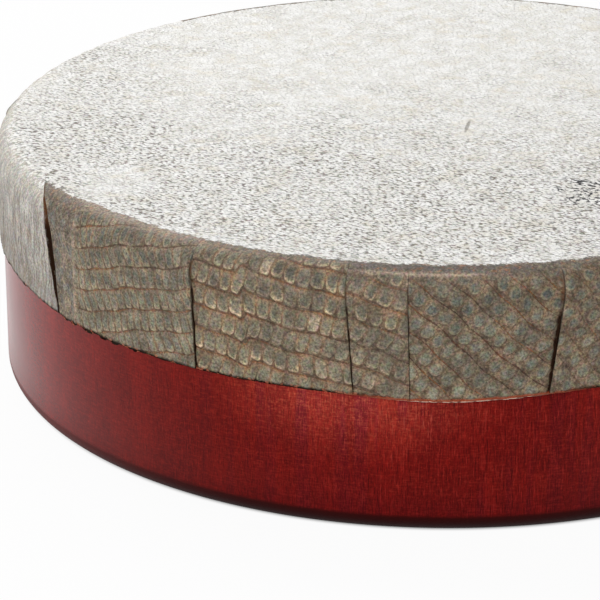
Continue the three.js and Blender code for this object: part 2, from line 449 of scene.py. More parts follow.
class Finish:
    """A material under construction."""

    def __init__(self, name, **sockets):
        self.material = bpy.data.materials.new(name)
        self.material.use_nodes = True
        self.tree = self.material.node_tree
        self.set(**sockets)

    def set(self, **sockets):
        """Sets sockets of the material's own shader."""
        inputs = self.tree.nodes["Principled BSDF"].inputs
        for name, value in sockets.items():
            feed(self.tree, inputs[name.replace("_", " ")], value)

    def place(self):
        """Where a point is on its object, in millimetres."""
        place = add_node(self.tree, "TexCoord", output="Object")
        return add_node(self.tree, "VectorMath", {0: place, "Scale": 1 / MM}, operation="SCALE")

    def attribute(self, name):
        """The three numbers that the mesh holds under this name."""
        return add_node(self.tree, "Attribute", output="Vector", attribute_name=name).parts()

    def join(self, x, y, z=0.0):
        return add_node(self.tree, "CombineXYZ", {0: x, 1: y, 2: z})

    def mix(self, share, first, second, blend="MIX"):
        inputs = {"Factor": share, 6: first, 7: second}
        return add_node(self.tree, "Mix", inputs, 2, data_type="RGBA", blend_type=blend)

    def lay(self, colour, *layers):
        """Lays colours over another, each given as its share, the colour, and how it blends."""
        for share, over, *blend in layers:
            colour = self.mix(share, colour, over, *blend)
        return colour

    def noise(self, place, size, detail=2.0, rough=0.5, stretch=None, output="Fac"):
        """Cloudy noise whose features are about this many millimetres across."""
        if stretch is not None:
            place = place.each("MULTIPLY", stretch)
        inputs = {"Vector": place, "Scale": 1 / size, "Detail": detail, "Roughness": rough}
        return add_node(self.tree, "TexNoise", inputs, output)

    def grains(self, place, size):
        """Distance from the nearest of scattered points about this many millimetres apart."""
        inputs = {"Vector": place, "Scale": 1 / size, "Smoothness": 0.35}
        return add_node(self.tree, "TexVoronoi", inputs, "Distance", feature="SMOOTH_F1")

    def bump(self, height, depth):
        """Relief of this depth in millimetres."""
        inputs = {"Strength": 1.0, "Distance": depth * MM, "Height": height}
        return add_node(self.tree, "Bump", inputs, "Normal")


# The repeat of the scales. The mesh takes its relief from it, as arrays, and the material its colours, as
# shader nodes. Row and column numbers are scrambled into shifts and sizes
ARRAY_WAYS = {
    "FLOOR": np.floor,
    "FRACT": lambda numbers: numbers - np.floor(numbers),
    "SINE": np.sin,
    "MAXIMUM": np.maximum,
}
ROW_SCRAMBLE = (12.9898, 43.7585)
CELL_SCRAMBLE = (7.31, 23.17, 91.17)
SCALE_CORNERS = (-6.5, 26.0)
CORNER_TAPER = 1.6
LEAST_CORNER = 2.0
SCALE_SPREAD = 0.16


def work_out(operation, value, *others):
    """Works on an array, or on what a shader node gives."""
    if isinstance(value, Value):
        return value.apply(operation, *others)
    return ARRAY_WAYS[operation](value, *others)


def in_scale(across, down, half_width, half_height):
    """How far out in its scale a point is (0 in the middle, 1 at the rim), how far down, and a chance."""
    row = work_out("FLOOR", down)
    y = down - row - 0.5
    across = across + work_out("FRACT", abs(work_out("SINE", row * ROW_SCRAMBLE[0]) * ROW_SCRAMBLE[1]))
    column = work_out("FLOOR", across)
    x = across - column - 0.5
    cell = column * CELL_SCRAMBLE[0] + row * CELL_SCRAMBLE[1]
    chance = work_out("FRACT", abs(work_out("SINE", cell) * CELL_SCRAMBLE[2]))
    size = 1 - chance * SCALE_SPREAD
    corners = SCALE_CORNERS[0] + half_height * SCALE_CORNERS[1] - y * CORNER_TAPER
    power = work_out("MAXIMUM", corners, LEAST_CORNER)
    reach = abs(x / (half_width * size)) ** power + abs(y / half_height) ** power
    return reach ** (1 / power), y, chance


def scale_marks(look):
    """The parts of each scale, and chances that differ from scale to scale."""
    reach, y, scale_chance = in_scale(look.across, look.down, look.half_width, look.half_height)
    reach = reach + ((look.blot - 0.5) * 0.5 + (look.fine - 0.5) * 0.4)
    chance = (scale_chance * 17.3).apply("FRACT")
    return SimpleNamespace(
        chance=chance,
        other_chance=(scale_chance * 41.7).apply("FRACT"),
        core=reach.ease(0.4, 0.95, 1.0, 0.0),
        pad=reach.ease(0.88, 1.06, 1.0, 0.0),
        near=reach.ease(0.94, 1.06) * reach.ease(1.12, 1.6, 1.0, 0.15),
        low_side=y.ease(-0.2, 0.42),
        line=(abs(y) + (look.blot - 0.5) * 0.14).ease(0.455, 0.495) * look.line,
        shown=look.contrast * chance.ease(0.0, 0.4, 0.7, 1.0),
    )


def scale_colour(skin, look, scale):
    """Grey scales with pale rims on brown ground, painted shadow just below each scale, and dark lines
    between their rows that are partly the skin's colour and partly painted shadow.
    """
    warmth = look.coarse.ease(0.45, 0.65, 0.05, 0.5) * (0.15 + look.rim * 0.85)
    ground = skin.mix(look.mottle, srgb(88, 76, 62), srgb(146, 129, 107))
    ground = skin.mix(warmth, ground, srgb(142, 108, 78))
    lighter = look.depth.ease(6.0, 20.0, 0.0, 0.5) + scale.other_chance * 0.5
    core = skin.mix(lighter, srgb(84, 92, 88), srgb(136, 138, 122))
    core = skin.mix(look.rim * 0.35, core, srgb(122, 104, 78))
    rim_share = look.rim * scale.chance.ease(0.0, 1.0, 0.3, 1.0) * look.broad.ease(0.4, 0.6, 0.4, 1.0)
    rim = skin.mix(scale.low_side, srgb(134, 116, 90), srgb(204, 184, 152))
    rim = skin.mix(rim_share, srgb(136, 126, 106), rim)
    worn = scale.chance.ease(0.86, 0.96, 0.0, 0.45) * look.rim * look.blot.ease(0.4, 0.6)
    pad = skin.lay(
        rim,
        (scale.core, core),
        (look.blot.ease(0.45, 0.68, 0.0, 0.5), srgb(122, 106, 88)),
        (worn, srgb(206, 190, 164)),
    )
    beside = skin.mix(look.blot, srgb(122, 92, 68), srgb(156, 126, 96))
    # Painted shadow just below each scale
    beside = skin.mix(scale.low_side, beside, srgb(74, 50, 36))
    outlined = scale.near * ((0.04 + look.rim * 0.22) * look.broad.ease(0.35, 0.6, 0.4, 1.2))
    return skin.lay(
        ground,
        (scale.pad, pad),
        (outlined + scale.near * (scale.low_side * 0.25), beside),
        # Lines between rows: the skin's colour there with painted shadow under each row
        (scale.line * 0.85, skin.mix(look.broad.ease(0.4, 0.6), srgb(74, 48, 34), srgb(134, 86, 50))),
    )


def skirt_colour(skin, look, scale):
    """Grainy skin, darker and redder by the rim, with the scales over it."""
    by_rim = look.depth.ease(2.0, 6.0, 1.0, 0.0)
    speckle = skin.mix(look.fine.ease(0.26, 0.74), (0.5, 0.47, 0.45, 1), (1.68, 1.67, 1.7, 1))
    weathered = skin.mix(look.coarse.ease(0.3, 0.7), (0.78, 0.77, 0.76, 1), (1.28, 1.26, 1.22, 1))
    return skin.lay(
        skin.mix(look.mottle, srgb(84, 76, 66), srgb(146, 134, 116)),
        (look.cool, srgb(116, 120, 116)),
        (by_rim * look.coarse.ease(0.42, 0.56, 0.0, 0.6), srgb(74, 68, 66)),
        (by_rim * look.blot.ease(0.54, 0.68, 0.0, 0.6), srgb(150, 106, 72)),
        (scale.shown, scale_colour(skin, look, scale)),
        # Painted highlights on crease crests and a ridge, painted shadow under the rim in front, and a pale
        # band on the left
        (look.tone.apply("MAXIMUM", 0.0), srgb(196, 176, 156)),
        ((look.tone * -1.0).apply("MAXIMUM", 0.0), srgb(70, 56, 52)),
        (0.3, look.tints, "OVERLAY"),
        (1.0, speckle, "MULTIPLY"),
        (1.0, weathered, "MULTIPLY"),
    )


def streaked_colour(skin, look):
    """Pale streaks down the skirt, paler towards the shoulder."""
    smear = skin.noise(skin.join(look.across * 0.9, look.depth * 0.22, 3.0), 2.4, 2.0, 0.6)
    speckle = skin.mix(look.fine.ease(0.26, 0.74), (0.66, 0.64, 0.63, 1), (1.5, 1.49, 1.48, 1))
    return skin.lay(
        skin.mix(look.strand.ease(0.34, 0.66), srgb(126, 118, 110), srgb(216, 212, 204)),
        (smear.ease(0.5, 0.68, 0.0, 0.6), srgb(132, 122, 108)),
        (look.coarse.ease(0.5, 0.72, 0.0, 0.5), srgb(164, 146, 126)),
        (look.depth.ease(1.0, 13.0, 0.65, 0.0), srgb(206, 203, 194)),
        (look.depth.ease(12.0, 24.0, 0.0, 0.45), srgb(120, 110, 96)),
        (look.cool * 0.6, srgb(156, 160, 160)),
        (0.25, look.tints, "OVERLAY"),
        (1.0, speckle, "MULTIPLY"),
    )


def fleck_crowd(skin, look):
    """How thick the face's flecks lie: crowded in front and on the left, sparse behind and in spots."""
    crowd = look.y.ease(-50, 35, 0.95, 0.15) + look.x.ease(-80, -30, 0.4, 0.0) + (look.broad - 0.5) * 1.5
    from_axis = skin.join(look.x, look.y).length()
    # Fewer flecks along the front rim: a painted sheen there
    front_rim_sheen = from_axis.ease(FLAT_RADIUS - 4, FLAT_RADIUS - 0.5) * look.y.ease(-40, -60)
    crowd = crowd * (1.0 - front_rim_sheen * 0.4)
    for centre, reach in SMOOTH_SPOTS:
        spot = look.place.away(centre, reach) + (look.coarse - 0.5) * 1.2
        crowd = crowd * spot.ease(0.4, 1.2, 0.45, 1.0)
    return crowd.apply("MAXIMUM", 0.15).apply("MINIMUM", 1.0)


def face_colour(skin, look):
    """The playing face: grey flecks on pale ground, partly the skin's specks and partly painted shade in the
    hollows between its grains, black flecks in the worn patch, and the nick.
    """
    # Dark flecks in the hollows between grains: the skin's specks and painted shade
    flecks_and_pit_shade = look.hollow * look.flecks.ease(0.41, 0.61, 1.0, 0.1)
    worn = (look.place.away(WORN_PATCH, WORN_REACH) + (look.coarse - 0.5) * 1.6).ease(0.6, 1.0, 1.0, 0.0)
    nick = skin.join(look.x - (look.y - NICK[1]) * NICK_LEAN, look.y).away(NICK, NICK_REACH)
    return skin.lay(
        skin.mix(look.coarse.ease(0.35, 0.65), srgb(253, 252, 249), srgb(241, 239, 233)),
        (skin.noise(look.place, 4.5, 3.0).ease(0.52, 0.7, 0.0, 0.45), srgb(236, 227, 209)),
        (flecks_and_pit_shade * fleck_crowd(skin, look), srgb(118, 111, 102)),
        (0.26, look.tints, "OVERLAY"),
        (flecks_and_pit_shade.ease(0.15, 0.6) * worn, srgb(38, 37, 38)),
        (nick.ease(0.5, 1.0, 0.65, 0.0), srgb(128, 122, 114)),
    )


def trimmed(skin, look, colour):
    """Adds painted shadow in the seams and the dart, the cut edge's dark colour with painted shade where it
    hangs open, a painted highlight along the glue bead, and the colour of the side that is glued down.
    """
    unsure = (look.blot - 0.5) + (look.fine - 0.5) * 0.9
    # Painted shadow in the seams and the dart, ragged at its edges and browner higher up
    shadow = (look.crevice + unsure).ease(0.1, 0.85) * look.crevice.ease(0.0, 0.15)
    shadow = shadow.apply("MAXIMUM", look.crevice.ease(0.88, 0.98))
    torn = (look.blot + look.coarse * 0.6).ease(0.72, 0.92)
    # The cut edge's own dark colour with orange torn bits; where it hangs open the black is painted shadow
    edge = skin.mix(look.blot.ease(0.56, 0.64), srgb(24, 12, 9), srgb(176, 104, 78))
    # Painted highlight along the glue bead: cream at its core, orange round it
    bright = look.glint.ease(0.6, 0.9) * look.blot.ease(0.36, 0.6, 0.15, 1.0)
    glow = skin.mix(look.blot.ease(0.42, 0.56), srgb(128, 56, 38), srgb(214, 112, 76))
    return skin.lay(
        colour,
        (shadow, skin.mix(look.depth.ease(6.5, 11.0, 0.75, 0.0), srgb(46, 30, 21), srgb(118, 76, 48))),
        (look.edge * (0.88 + torn * 0.12), skin.mix(look.glint.ease(0.0, 0.35), edge, srgb(186, 86, 54))),
        (look.glint.ease(0.45, 0.8), skin.mix(bright, glow, srgb(252, 226, 206))),
        (look.inside, srgb(196, 178, 148)),
    )


def skin_looks(skin):
    """What the mesh says about each point of the skin, and the noises that its colours share."""
    place = skin.place()
    x, y, z = place.parts()
    look = SimpleNamespace(place=place, x=x, y=y)
    look.across, look.down, look.depth = skin.attribute("scale_place")
    look.half_width, look.half_height, look.contrast = skin.attribute("scale_form")
    look.rim, look.line, look.tone = skin.attribute("scale_tone")
    look.pale, look.crevice, look.streak = skin.attribute("skin_look")
    look.edge, look.glint, look.inside = skin.attribute("edge_look")
    look.fine = skin.noise(place, 0.42, 3.0, 0.65)
    look.blot = skin.noise(place, 1.3, 2.0, 0.55)
    look.coarse = skin.noise(place, 3.5)
    look.broad = skin.noise(place, 14.0)
    look.tints = skin.noise(place, 0.7, output="Color")
    look.mottle = skin.noise(place, 0.9, 4.0, 0.7).ease(0.3, 0.7)
    look.cool = skin.noise(place, 2.2).ease(0.5, 0.62, 0.0, 0.6)
    look.strand = skin.noise(skin.join(look.across, look.depth * 0.16), 0.9, 4.0, 0.75)
    drawn_out = skin.join(x * FLECK_STRETCH, y + x * FLECK_LEAN, z)
    look.hollow = skin.grains(drawn_out, 0.6).ease(0.39, 0.66)
    look.flecks = skin.noise(drawn_out, 0.95, 3.0, 0.68)
    return look


def skin_finish():
    skin = Finish("skin_lizard", Roughness=0.6, Specular_IOR_Level=0.0, Coat_Roughness=0.55)
    look = skin_looks(skin)
    scale = scale_marks(look)
    skirt = skin.mix(look.streak, skirt_colour(skin, look, scale), streaked_colour(skin, look))
    ragged = (look.fine - 0.5) + (look.hollow - 0.5) * -0.3
    over = (look.pale + ragged).ease(0.25, 0.75) * look.pale.ease(0.02, 0.2)
    colour = skin.mix(over, skirt, face_colour(skin, look))
    matt = look.crevice.ease(0.2, 0.8).apply("MAXIMUM", look.edge * (1.0 - look.glint))
    skin.set(Base_Color=trimmed(skin, look, colour), Coat_Weight=(1.0 - matt) * 0.5)

    # Relief
    scale_height = scale.pad * 0.6 + scale.pad * (1.0 - scale.core) * 0.4
    scale_height = scale_height - (scale.near * (scale.low_side * 0.6) + scale.line)
    skirt_height = scale_height * scale.shown + look.fine * 1.4 + look.strand * (look.streak * 1.8)
    face_relief = look.fine + (look.flecks * 2.4 + look.hollow * -1.6)
    skin.set(Normal=skin.bump(skirt_height * (1.0 - over) + face_relief * over, 0.14))
    return skin.material


def wood_finish():
    wood = Finish("wood_lacquered", Specular_IOR_Level=0.42, Specular_Tint=(0.9, 0.1, 0.08, 1.0))
    place = wood.place()
    x, _, z = place.parts()
    pores = wood.noise(place, 1.0, 2.0, 0.6, (3.6, 3.6, 0.28))
    weave = wood.noise(place, 1.0, 2.0, 0.6, (0.5, 0.5, 3.2))
    hairs = wood.noise(place, 1.0, 3.0, 0.7, (6.5, 6.5, 0.6))
    speck = wood.noise(place, 0.4, 2.0, 0.6)
    clouds = wood.noise(place, 7.0, 3.0, 0.6, (1.0, 1.0, 0.3))
    bands = wood.noise(place, 3.0, 2.0, 0.5, (1.0, 1.0, 0.07))
    figured = x.ease(-80, -20, 0.2, 1.0)
    streaky = wood.noise(place, 24.0, 1.0).ease(0.42, 0.58, 0.35, 1.0) * figured
    shade = wood.mix(hairs.ease(0.3, 0.7), (0.56, 0.51, 0.54, 1), (1.5, 1.54, 1.46, 1))
    from_sheen = place.each("SUBTRACT", WOOD_SHEEN_SPOT).each("DIVIDE", WOOD_SHEEN_REACH).length()
    by_foot = z.ease(BOTTOM_ROUND + 1, BOTTOM_ROUND + 7, 1.0, 0.0) * x.ease(-75, -30, 0.2, 1.0)
    foot = z.ease(BOTTOM_ROUND - 0.1, BOTTOM_ROUND + 0.9, 1.0, 0.0)
    red = wood.lay(
        wood.mix(clouds.ease(0.34, 0.66), srgb(98, 11, 11), srgb(116, 16, 13)),
        (figured * bands.ease(0.46, 0.6, 0.0, 0.65), srgb(86, 10, 19)),
        (weave.ease(0.49, 0.7, 0.0, 0.38), srgb(144, 39, 31)),
        (weave.ease(0.3, 0.48, 0.3, 0.0), srgb(68, 6, 9)),
        (speck.ease(0.5, 0.75, 0.0, 0.5), srgb(144, 40, 28)),
        (pores.ease(0.55, 0.72, 0.0, 0.55) * streaky, srgb(154, 44, 38)),
        (pores.ease(0.3, 0.46, 0.75, 0.0) * streaky, srgb(62, 5, 9)),
        (0.4 + figured * 0.6, shade, "MULTIPLY"),
        # Painted sheen: paler and oranger towards the skirt's edge and in a broad spot under it
        (z.ease(SKIRT_EDGE - 12, SKIRT_EDGE, 0.0, 0.6), (1.15, 1.35, 1.3, 1), "MULTIPLY"),
        (from_sheen.ease(0.1, 1.0, 1.0, 0.0), (1.95, 5.4, 4.8, 1), "MULTIPLY"),
        # Painted shade: darker on the left
        (x.ease(-50, -20, 1.0, 0.0), (0.87, 0.8, 0.7, 1), "MULTIPLY"),
        (x.ease(-80, -62, 1.0, 0.0), (1.45, 1.05, 0.9, 1), "MULTIPLY"),
        (by_foot, (0.76, 0.62, 0.85, 1), "MULTIPLY"),
        # Painted shade on the bottom roundover, which faces the floor
        (foot * x.ease(-85, -35, 0.55, 0.97), srgb(10, 2, 3)),
    )
    wood.set(Base_Color=red, Roughness=0.2 + foot * 0.25, Normal=wood.bump(weave + pores, 0.008))
    return wood.material


def brass_finish():
    brass = Finish("brass_pressed", Metallic=1.0)
    place = brass.place()
    x, y, _ = place.parts()
    turning = brass.noise(brass.join(brass.join(x, y).length(), 0.0), 0.25)
    tarnish = brass.noise(place, 4.0, 4.0, 0.6)
    colour = brass.mix(tarnish.ease(0.4, 0.7), srgb(206, 166, 92), srgb(158, 116, 62))
    colour = brass.mix(turning.ease(0.45, 0.7, 0.0, 0.4), colour, srgb(178, 138, 74))
    roughness = tarnish.ease(0.35, 0.75, 0.24, 0.46)
    brass.set(Base_Color=colour, Roughness=roughness, Normal=brass.bump(turning, 0.02))
    return brass.material


def steel_finish():
    steel = Finish("steel_drawn", Metallic=1.0)
    place = steel.place()
    drawn = steel.noise(place, 0.3, 2.0, 0.5, (1.0, 1.0, 0.05))
    stain = steel.noise(place, 2.5, 3.0)
    colour = steel.mix(stain.ease(0.45, 0.7), srgb(172, 171, 168), srgb(132, 126, 118))
    steel.set(Base_Color=colour, Roughness=drawn.ease(0.3, 0.7, 0.26, 0.42), Normal=steel.bump(drawn, 0.01))
    return steel.material


# Shell
def slot_outline(flare):
    """The slot's round-ended outline, let out on all sides."""
    straight = (SLOT_LENGTH - SLOT_HEIGHT) / 2
    outline = arc(straight, SLOT_MIDDLE, SLOT_HEIGHT / 2 + flare, -90, 90, 20)
    outline += arc(-straight, SLOT_MIDDLE, SLOT_HEIGHT / 2 + flare, 90, 270, 20)
    return np.array(outline)


def eased_mouth():
    """Depth and flare of the slot's rounded edge, from its wall out to just past the surface."""
    steps = []
    for turn in np.radians(MOUTH_TURNS):
        depth = EDGE_SOFTENING * (1 - math.sin(turn))
        flare = EDGE_SOFTENING * (1 - math.cos(turn))
        steps.append((depth, flare))
    steps.append((-MOUTH_PAST, flare + (depth + MOUTH_PAST) * math.tan(turn)))
    return steps


def slot_cutter():
    """The slot pushed through the wall, with a rounded edge where it meets each side of the wall."""
    mouth = eased_mouth()
    widest = slot_outline(mouth[-1][1])
    sections = [(np.full(len(widest), SHELL_RADIUS / 2), widest)]
    for radius, inward, steps in ((SHELL_RADIUS - WALL, -1, mouth[::-1]), (SHELL_RADIUS, 1, mouth)):
        for depth, flare in steps:
            outline = slot_outline(flare)
            sections.append((np.sqrt(radius ** 2 - outline[:, 0] ** 2) - inward * depth, outline))
    sections.append((np.full(len(widest), SHELL_RADIUS + WALL), widest))
    swing = math.radians(SLOT_AZIMUTH)
    points = []
    for distance, outline in sections:
        sideways, height = outline.T
        x = distance * math.sin(swing) + sideways * math.cos(swing)
        y = -distance * math.cos(swing) + sideways * math.sin(swing)
        points.append(np.stack([x, y, height], axis=1))
    count = len(widest)
    last = count * (len(sections) - 1)
    faces = [tuple(range(count)), tuple(range(last, last + count))]
    for first in range(0, last, count):
        for place in range(count):
            after = (place + 1) % count
            faces.append((first + place, first + after, first + count + after, first + count + place))
    return mesh_object("slot_cutter", np.concatenate(points), faces)


def pin_hole_cutter():
    """The hole that the pin is driven into, wider at the open edge for its head."""
    below, top = -1, pin_high.z + GLUE
    profile = [(0, below), (PIN_SEAT_RADIUS, below), (PIN_SEAT_RADIUS, PIN_SEAT_DEPTH)]
    profile += [(PIN_HOLE_RADIUS, PIN_SEAT_DEPTH), (PIN_HOLE_RADIUS, top), (0, top)]
    cutter = turned("pin_hole_cutter", profile, PIN_SEGMENTS)
    for vertex in cutter.data.vertices:
        vertex.co.x += PIN_AXIS.x * MM
        vertex.co.y += PIN_AXIS.y * MM
    return cutter


def build_shell():
    bevel = WALL - SHELL_SHOULDER - BEARING_LAND
    inner = SHELL_RADIUS - WALL
    profile = arc(SHELL_RADIUS - BOTTOM_ROUND, BOTTOM_ROUND, BOTTOM_ROUND, -90, 0, 10)
    profile += arc(SHELL_RADIUS - SHELL_SHOULDER, SHELL_HEIGHT - SHELL_SHOULDER, SHELL_SHOULDER, 0, 90, 8)
    profile += [(inner + bevel, SHELL_HEIGHT), (inner, SHELL_HEIGHT - bevel)]
    profile += arc(inner + INNER_ROUND, INNER_ROUND, INNER_ROUND, 180, 270, 8)
    shell = turned("shell_turned", profile, SHELL_SEGMENTS)
    cut(shell, slot_cutter())
    cut(shell, pin_hole_cutter())
    shell.data.shade_smooth()
    sharpen(shell, SHELL_CREASE)
    dress(shell, "drum", "shell_wood", wood_finish(), "shell")


# Skin
Column = namedtuple("Column", "edge top lift crevice panel rise bulge pull")


def degrees_for(length):
    """Degrees round the skin that a length takes up."""
    return math.degrees(length / SKIN_RADIUS)


def all_seams():
    """The seams in front, then evenly spaced ones behind that lean to either side in turn."""
    first, last = FRONT_SEAMS[0], FRONT_SEAMS[-1]
    pitch = (first.edge + 360 - last.edge) / (HIDDEN_SEAMS + 1)
    seams = list(FRONT_SEAMS)
    for place in range(1, HIDDEN_SEAMS + 1):
        edge = last.edge + place * pitch
        lean = HIDDEN_LEAN if place % 2 else -HIDDEN_LEAN
        kind = "right" if lean > 0 else "left"
        seams.append(Seam(edge, edge + lean, kind, HIDDEN_SHADOW, HIDDEN_RISE))
    return seams


def panel_style(index, seams):
    """The scales of the panel to the right of a seam."""
    if index < len(FRONT_PANELS):
        return FRONT_PANELS[index]
    if index >= len(seams) - STREAKED_BEHIND:
        return STREAKED_PANEL
    pitch = seams[-1].edge - seams[-2].edge
    turned_rows = seams[index].edge + pitch / 2 - LEVEL_ROWS_AZIMUTH
    return PLAIN_PANEL._replace(slope=(turned_rows + 90) % 180 - 90)


def lap_lift(seam):
    """How far a lap stands out. One with a narrow shadow lies flatter."""
    return LAP_LIFT * min(1.0, 0.3 + seam.shadow)


def dart_columns(seam, panel, before):
    """The columns at the open dart, from left to right."""
    columns = []
    for side, which, section in ((-1, before, DART_SECTION), (1, panel, DART_SECTION[::-1])):
        for inset, lift, dark in section:
            edge = seam.edge + degrees_for(side * (DART_EDGE_WIDTH / 2 - inset))
            top = seam.top + degrees_for(side * (DART_TOP_WIDTH / 2 - inset))
            columns.append(Column(edge, top, lift, dark, which, seam.rise, side * DART_BULGE, DART_LEAN))
    return columns


def lap_columns(seam, panel, before):
    """The columns at a lapped seam, from left to right."""
    side = 1 if seam.kind == "left" else -1
    upper, under = (before, panel) if side > 0 else (panel, before)
    wide = seam.shadow
    deep = min(1.0, 0.5 + seam.shadow)
    raised = lap_lift(seam)
    # Distance from the seam's line, height, darkness of the painted shadow and panel, from the top of the
    # lap outwards
    section = [
        (-0.16, raised, 0.0, upper),
        (-0.05, raised - 0.08, 0.3, upper),
        (0.05, -0.12, 1.0, under),
        (0.45 * wide, -0.12, 0.85, under),
        (0.9 * wide, -0.04, 0.3, under),
        (1.5 * wide, 0.0, 0.0, under),
    ]
    columns = []
    for offset, lift, dark, which in section:
        turn = degrees_for(side * offset)
        edge, top = seam.edge + turn * LAP_TAPER, seam.top + turn
        columns.append(Column(edge, top, lift, dark * deep, which, seam.rise, 0.0, 0.0))
    return columns[::side]


def seam_columns(seam, panel, before):
    columns_of = dart_columns if seam.kind == "dart" else lap_columns
    return columns_of(seam, panel, before)


def fill_columns(first, end, left, right, panel):
    """The columns between two seams. What each seam does to the skin fades out away from it."""
    width = math.radians(end.edge - first.edge) * SKIN_RADIUS
    fills = max(2, round(width / COLUMN_PITCH))
    columns = []
    for fill in range(1, fills):
        share = fill / fills
        from_left, from_right = width * share, width * (1 - share)
        by_left, by_right = smooth(LAP_WIDTH, 0, from_left), smooth(LAP_WIDTH, 0, from_right)
        lift = 0.0
        if left.kind == "right":
            lift += lap_lift(left) * by_left
        if right.kind == "left":
            lift += lap_lift(right) * by_right
        edge = first.edge + (end.edge - first.edge) * share
        top = first.top + (end.top - first.top) * share
        rise = first.rise if share < 0.5 else end.rise
        bulge = first.bulge * by_left + end.bulge * by_right
        pull = first.pull * smooth(DART_PULL, 0, from_left) + end.pull * smooth(DART_PULL, 0, from_right)
        columns.append(Column(edge, top, lift, 0.0, panel, rise, bulge, pull))
    return columns


def skin_columns(seams):
    """Every column of the skin in order of azimuth."""
    count = len(seams)
    first_again = seams[0]._replace(edge=seams[0].edge + 360, top=seams[0].top + 360)
    columns = []
    for index, (left, right) in enumerate(zip(seams, seams[1:] + [first_again])):
        start = seam_columns(left, index, (index - 1) % count)
        end = seam_columns(right, (index + 1) % count, index)
        columns += start + fill_columns(start[-1], end[0], left, right, index)
    return columns


class Rings:
    """Rings of points from the skirt's edge to a face's middle, the looks there, and the faces between."""

    def __init__(self):
        self.count = 0
        self.points = []
        self.looks = {name: [] for name in LOOKS}
        self.faces = []

    def ring(self, points, **looks):
        first = self.count
        self.points.append(points)
        self.count += len(points)
        for name, vectors in self.looks.items():
            vectors.append(np.broadcast_to(looks.get(name, 0.0), (len(points), 3)))
        return np.arange(first, self.count)

    def band(self, lower, upper):
        after_lower, after_upper = np.roll(lower, -1), np.roll(upper, -1)
        self.faces += np.stack([lower, after_lower, after_upper, upper], axis=1).tolist()

    def narrow(self, outer, inner):
        """Joins a ring to one that has every second of its columns."""
        for place in range(len(inner)):
            near, far = inner[place], inner[(place + 1) % len(inner)]
            first = outer[2 * place]
            last = outer[min(2 * place + 2, len(outer)) % len(outer)]
            if 2 * place + 1 < len(outer):
                middle = outer[2 * place + 1]
                self.faces += [[first, middle, near], [middle, far, near], [middle, last, far]]
            else:
                self.faces.append([first, last, far, near])

    def close(self, ring, point, **looks):
        centre = self.ring(point, **looks)[0]
        for here, there in zip(ring, np.roll(ring, -1)):
            self.faces.append([here, there, centre])


def around(degrees, distance, level):
    """Points round the drum's axis."""
    turn = np.radians(degrees)
    level = np.broadcast_to(level, turn.shape)
    return np.stack([distance * np.sin(turn), -distance * np.cos(turn), level], axis=1)


def edge_height(azimuth):
    """Height of the skirt's cut edge, which sways and wavers."""
    height = np.full_like(azimuth, SKIRT_EDGE)
    for centre, spread, sway in EDGE_SWAYS:
        away = (azimuth - centre + 180) % 360 - 180
        height += sway * np.exp(-(away / spread) ** 2)
    x = SKIN_RADIUS * np.sin(np.radians(azimuth))
    y = SKIN_RADIUS * np.cos(np.radians(azimuth))
    return height + 0.06 * ripple(x, y, 1.6, 11) + 0.08 * ripple(x, y, 7.0, 12)


def scuffs(azimuth):
    """Short stretches of the cut edge that hang open, as shares of the deepest."""
    along = np.radians(azimuth) * SKIN_RADIUS
    start, end = SCUFFED
    stretch = smooth(start, start + SCUFFED_FADE, azimuth) * smooth(end, end - SCUFFED_FADE, azimuth)
    return stretch * smooth(0.0, 0.45, ripple(along, 0.0, 3.4, 13) + 0.25 * ripple(along, 0.0, 1.3, 14))


def face_points(degrees, distance):
    """A ring of the playing face, which isn't quite flat."""
    points = around(degrees, distance, 0.0)
    x, y = points[:, 0], points[:, 1]
    slack = smooth(FLAT_RADIUS, FLAT_RADIUS - 12, np.hypot(x, y))
    level = SKIN_TOP - 0.06 - slack * (0.06 + 0.05 * ripple(x, y, 16, 21))
    points[:, 2] = level + 0.025 * ripple(x, y, 3.2, 22)
    return points


def lay_out():
    """The outside of the skin up to the face: a row for each level and a column for each azimuth."""
    seams = all_seams()
    sheet = SimpleNamespace(**Column(*np.array(skin_columns(seams), dtype=float).T)._asdict())
    sheet.panel = sheet.panel.astype(int)
    styles = np.array([panel_style(index, seams) for index in range(len(seams))], dtype=float)
    sheet.style = Panel(*styles[sheet.panel].T)
    edges = np.array([seam.edge for seam in seams] + [seams[0].edge + 360])
    sheet.middle = ((edges[:-1] + edges[1:]) / 2)[sheet.panel]

    # Rows climb from the cut edge (0) up the skirt (to 1), then bend over the shoulder
    skirt_rows = round((SHOULDER_FOOT - SKIRT_EDGE) / ROW_PITCH)
    shoulder_rows = round(SHOULDER_LENGTH / ROW_PITCH)
    bends = np.linspace(0, math.pi / 2, shoulder_rows + 1)[1:]
    climb = np.concatenate([np.linspace(0, 1, skirt_rows + 1), np.ones(shoulder_rows)])[:, None]
    bend = np.concatenate([np.zeros(skirt_rows + 1), bends])[:, None]
    sheet.climb, sheet.bend = climb, bend

    gape = smooth(0, 0.7, climb) * smooth(1.4, 0.75, climb) * smooth(0.8, 0, bend)
    azimuth = sheet.edge + (sheet.top - sheet.edge) * climb + np.degrees(sheet.bulge / SKIN_RADIUS) * gape
    sheet.azimuth = azimuth + sheet.pull * (bend / bends[-1]) ** 1.6
    sheet.low_edge = edge_height(sheet.edge)
    sheet.wall_height = sheet.low_edge + (SHOULDER_FOOT - sheet.low_edge) * climb
    sheet.depth = SHOULDER * (math.pi / 2 - bend) + (SHOULDER_FOOT - sheet.wall_height)
    sheet.wall_x = SKIN_RADIUS * np.sin(np.radians(sheet.azimuth))
    sheet.wall_y = SKIN_RADIUS * np.cos(np.radians(sheet.azimuth)) + sheet.depth
    sheet.side = np.radians((sheet.azimuth - sheet.middle + 180) % 360 - 180) * SKIN_RADIUS
    rise = np.radians(sheet.rise)
    sheet.lap_fade = smooth(rise, rise - math.radians(LAP_FADE), bend)
    return sheet


